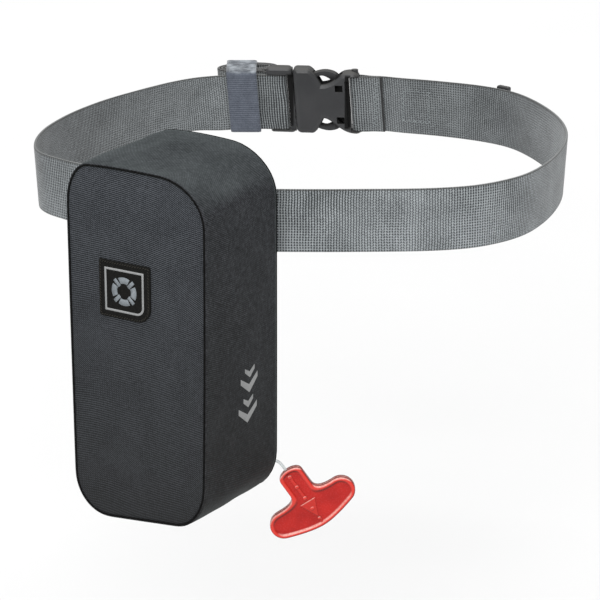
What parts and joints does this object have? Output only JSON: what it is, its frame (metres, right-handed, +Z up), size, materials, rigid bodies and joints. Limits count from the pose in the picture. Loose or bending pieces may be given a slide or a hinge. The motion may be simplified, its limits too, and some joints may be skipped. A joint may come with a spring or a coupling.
{
  "type": "inflatable belt pack",
  "caption": "Webbing waist belt closed in a loop by a side-release buckle, with a banded rolled tail, a tall soft pouch and a T-shaped pull handle on a short cord.",
  "frame": {"origin": "middle of the waist opening, at half the width of the webbing", "axes": "+X to the wearer's buckle-view right, +Y from the near run of the belt to the buckle, +Z up along the pouch"},
  "size_m": [0.3304, 0.3804, 0.248],
  "materials": {
    "webbing": "ribbed grey webbing",
    "band": "blue-grey hook and loop band, finely ribbed",
    "buckle_plastic": "dark grey moulded plastic, satin",
    "pouch_cloth": "dark blue-grey woven cloth over a soft lining",
    "seam_tape": "near-black seam tape",
    "patch_cloth": "black woven patch with a stitched border",
    "clear_cord": "milky clear line",
    "red_plastic": "glossy red moulded plastic"
  },
  "bodies": {
    "root": {"belt_webbing": "webbing", "belt_tail_roll": "webbing", "tail_band": "band", "buckle_socket": "buckle_plastic", "buckle_plug": "buckle_plastic", "belt_side_tab": "buckle_plastic", "pouch_front_panel": "pouch_cloth", "pouch_back_panel": "pouch_cloth", "pouch_gusset": "pouch_cloth", "front_seam_binding": "seam_tape", "back_seam_binding": "seam_tape", "pouch_belt_sleeve": "pouch_cloth", "front_patch": "patch_cloth", "pull_handle": "red_plastic", "pull_cord": "clear_cord"}
  },
  "joints": []
}
